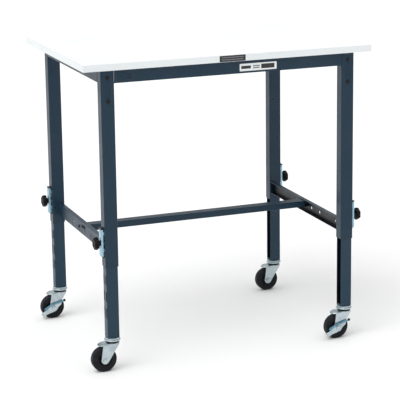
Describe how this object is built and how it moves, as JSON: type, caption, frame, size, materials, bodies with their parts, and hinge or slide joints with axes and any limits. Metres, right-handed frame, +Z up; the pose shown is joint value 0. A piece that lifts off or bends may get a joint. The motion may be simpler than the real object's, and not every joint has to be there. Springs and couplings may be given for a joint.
{
  "type": "work platform bench",
  "caption": "Light height-adjustable workbench: white board on a steel frame, telescoping slotted legs with hand-knob locks, lower H-stretcher and swivel castors.",
  "frame": {"origin": "on the floor, under the middle of the tabletop", "axes": "+X to the bench's right, +Y to its back, +Z up"},
  "size_m": [0.9, 0.6003, 0.914],
  "materials": {
    "board_white": "white melamine facing",
    "edge_grey": "satin edge band",
    "frame_paint": "satin powder coat, dark blue-grey",
    "inner_paint": "satin powder coat, dark blue-grey",
    "zinc": "bright zinc plating",
    "zinc_blue": "blue-bright zinc plating",
    "bolt_black": "black",
    "knob_black": "moulded, matt",
    "tyre": "matt rubber",
    "hub_black": "moulded, matt",
    "sticker_dark": "printed film",
    "sticker_white": "printed film"
  },
  "bodies": {
    "frame": {"tabletop": "board_white", "edge_band": "edge_grey", "stretcher": "frame_paint", "corner_posts": "frame_paint", "leg_bolts": "bolt_black", "stretcher_bolts": "bolt_black", "top_screws": "zinc", "apron_screws": "frame_paint", "lock_nuts": "zinc", "lock_stops": "bolt_black", "label_top": "sticker_dark", "label_apron": "sticker_white", "apron_front": "frame_paint", "apron_back": "frame_paint", "apron_left": "frame_paint", "apron_right": "frame_paint", "crossbar_left": "frame_paint", "crossbar_right": "frame_paint", "outer_leg_fl": "frame_paint", "outer_leg_fr": "frame_paint", "outer_leg_bl": "frame_paint", "outer_leg_br": "frame_paint"},
    "leg_fl": {"inner_leg_fl": "inner_paint", "castor_stem_fl": "zinc"},
    "castor_fl": {"fork_fl": "zinc", "axle_fl": "zinc"},
    "wheel_fl": {"tyre_fl": "tyre", "hub_fl": "hub_black"},
    "lock_fl": {"lock_channel_fl": "zinc_blue", "lock_hooks_fl": "zinc_blue"},
    "knob_fl": {"knob_fl": "knob_black"},
    "leg_fr": {"inner_leg_fr": "inner_paint", "castor_stem_fr": "zinc"},
    "castor_fr": {"fork_fr": "zinc", "axle_fr": "zinc"},
    "wheel_fr": {"tyre_fr": "tyre", "hub_fr": "hub_black"},
    "lock_fr": {"lock_channel_fr": "zinc_blue", "lock_hooks_fr": "zinc_blue"},
    "knob_fr": {"knob_fr": "knob_black"},
    "leg_bl": {"inner_leg_bl": "inner_paint", "castor_stem_bl": "zinc"},
    "castor_bl": {"fork_bl": "zinc", "axle_bl": "zinc"},
    "wheel_bl": {"tyre_bl": "tyre", "hub_bl": "hub_black"},
    "lock_bl": {"lock_channel_bl": "zinc_blue", "lock_hooks_bl": "zinc_blue"},
    "knob_bl": {"knob_bl": "knob_black"},
    "leg_br": {"inner_leg_br": "inner_paint", "castor_stem_br": "zinc"},
    "castor_br": {"fork_br": "zinc", "axle_br": "zinc"},
    "wheel_br": {"tyre_br": "tyre", "hub_br": "hub_black"},
    "lock_br": {"lock_channel_br": "zinc_blue", "lock_hooks_br": "zinc_blue"},
    "knob_br": {"knob_br": "knob_black"},
    "brake_fr": {"brake_lever_fr": "zinc"},
    "brake_bl": {"brake_lever_bl": "zinc"}
  },
  "joints": [
    {"name": "leg_slide_fl", "type": "slide", "parent": "frame", "child": "leg_fl", "axis": [0, 0, -1], "range_m": [-0.2, 0.1]},
    {"name": "swivel_fl", "type": "hinge", "parent": "leg_fl", "child": "castor_fl", "pos_m": [-0.376, -0.273, 0.09], "axis": [0, 0, 1], "continuous": true},
    {"name": "wheel_spin_fl", "type": "hinge", "parent": "castor_fl", "child": "wheel_fl", "pos_m": [-0.404, -0.273, 0.0375], "axis": [0, 1, 0], "continuous": true},
    {"name": "lock_slide_fl", "type": "slide", "parent": "frame", "child": "lock_fl", "axis": [1, 0, 0], "range_m": [0, 0.0025]},
    {"name": "knob_turn_fl", "type": "hinge", "parent": "lock_fl", "child": "knob_fl", "pos_m": [-0.42, -0.273, 0.389], "axis": [1, 0, 0], "range_deg": [0, 720]},
    {"name": "leg_slide_fr", "type": "slide", "parent": "frame", "child": "leg_fr", "axis": [0, 0, -1], "range_m": [-0.2, 0.1]},
    {"name": "swivel_fr", "type": "hinge", "parent": "leg_fr", "child": "castor_fr", "pos_m": [0.376, -0.273, 0.09], "axis": [0, 0, 1], "continuous": true},
    {"name": "wheel_spin_fr", "type": "hinge", "parent": "castor_fr", "child": "wheel_fr", "pos_m": [0.348, -0.273, 0.0375], "axis": [0, 1, 0], "continuous": true},
    {"name": "lock_slide_fr", "type": "slide", "parent": "frame", "child": "lock_fr", "axis": [-1, 0, 0], "range_m": [0, 0.0025]},
    {"name": "knob_turn_fr", "type": "hinge", "parent": "lock_fr", "child": "knob_fr", "pos_m": [0.42, -0.273, 0.389], "axis": [-1, 0, 0], "range_deg": [0, 720]},
    {"name": "leg_slide_bl", "type": "slide", "parent": "frame", "child": "leg_bl", "axis": [0, 0, -1], "range_m": [-0.2, 0.1]},
    {"name": "swivel_bl", "type": "hinge", "parent": "leg_bl", "child": "castor_bl", "pos_m": [-0.376, 0.273, 0.09], "axis": [0, 0, 1], "continuous": true},
    {"name": "wheel_spin_bl", "type": "hinge", "parent": "castor_bl", "child": "wheel_bl", "pos_m": [-0.404, 0.273, 0.0375], "axis": [0, 1, 0], "continuous": true},
    {"name": "lock_slide_bl", "type": "slide", "parent": "frame", "child": "lock_bl", "axis": [1, 0, 0], "range_m": [0, 0.0025]},
    {"name": "knob_turn_bl", "type": "hinge", "parent": "lock_bl", "child": "knob_bl", "pos_m": [-0.42, 0.273, 0.389], "axis": [1, 0, 0], "range_deg": [0, 720]},
    {"name": "leg_slide_br", "type": "slide", "parent": "frame", "child": "leg_br", "axis": [0, 0, -1], "range_m": [-0.2, 0.1]},
    {"name": "swivel_br", "type": "hinge", "parent": "leg_br", "child": "castor_br", "pos_m": [0.376, 0.273, 0.09], "axis": [0, 0, 1], "continuous": true},
    {"name": "wheel_spin_br", "type": "hinge", "parent": "castor_br", "child": "wheel_br", "pos_m": [0.348, 0.273, 0.0375], "axis": [0, 1, 0], "continuous": true},
    {"name": "lock_slide_br", "type": "slide", "parent": "frame", "child": "lock_br", "axis": [-1, 0, 0], "range_m": [0, 0.0025]},
    {"name": "knob_turn_br", "type": "hinge", "parent": "lock_br", "child": "knob_br", "pos_m": [0.42, 0.273, 0.389], "axis": [-1, 0, 0], "range_deg": [0, 720]},
    {"name": "brake_fr", "type": "hinge", "parent": "castor_fr", "child": "brake_fr", "pos_m": [0.348, -0.273, 0.0375], "axis": [0, 1, 0], "range_deg": [0, 20]},
    {"name": "brake_bl", "type": "hinge", "parent": "castor_bl", "child": "brake_bl", "pos_m": [-0.404, 0.273, 0.0375], "axis": [0, 1, 0], "range_deg": [0, 20]}
  ],
  "couplings": [
    {"joint": "lock_slide_fl", "follows": "knob_turn_fl", "m_per_rad": 0.00019894},
    {"joint": "lock_slide_fr", "follows": "knob_turn_fr", "m_per_rad": 0.00019894},
    {"joint": "lock_slide_bl", "follows": "knob_turn_bl", "m_per_rad": 0.00019894},
    {"joint": "lock_slide_br", "follows": "knob_turn_br", "m_per_rad": 0.00019894}
  ]
}
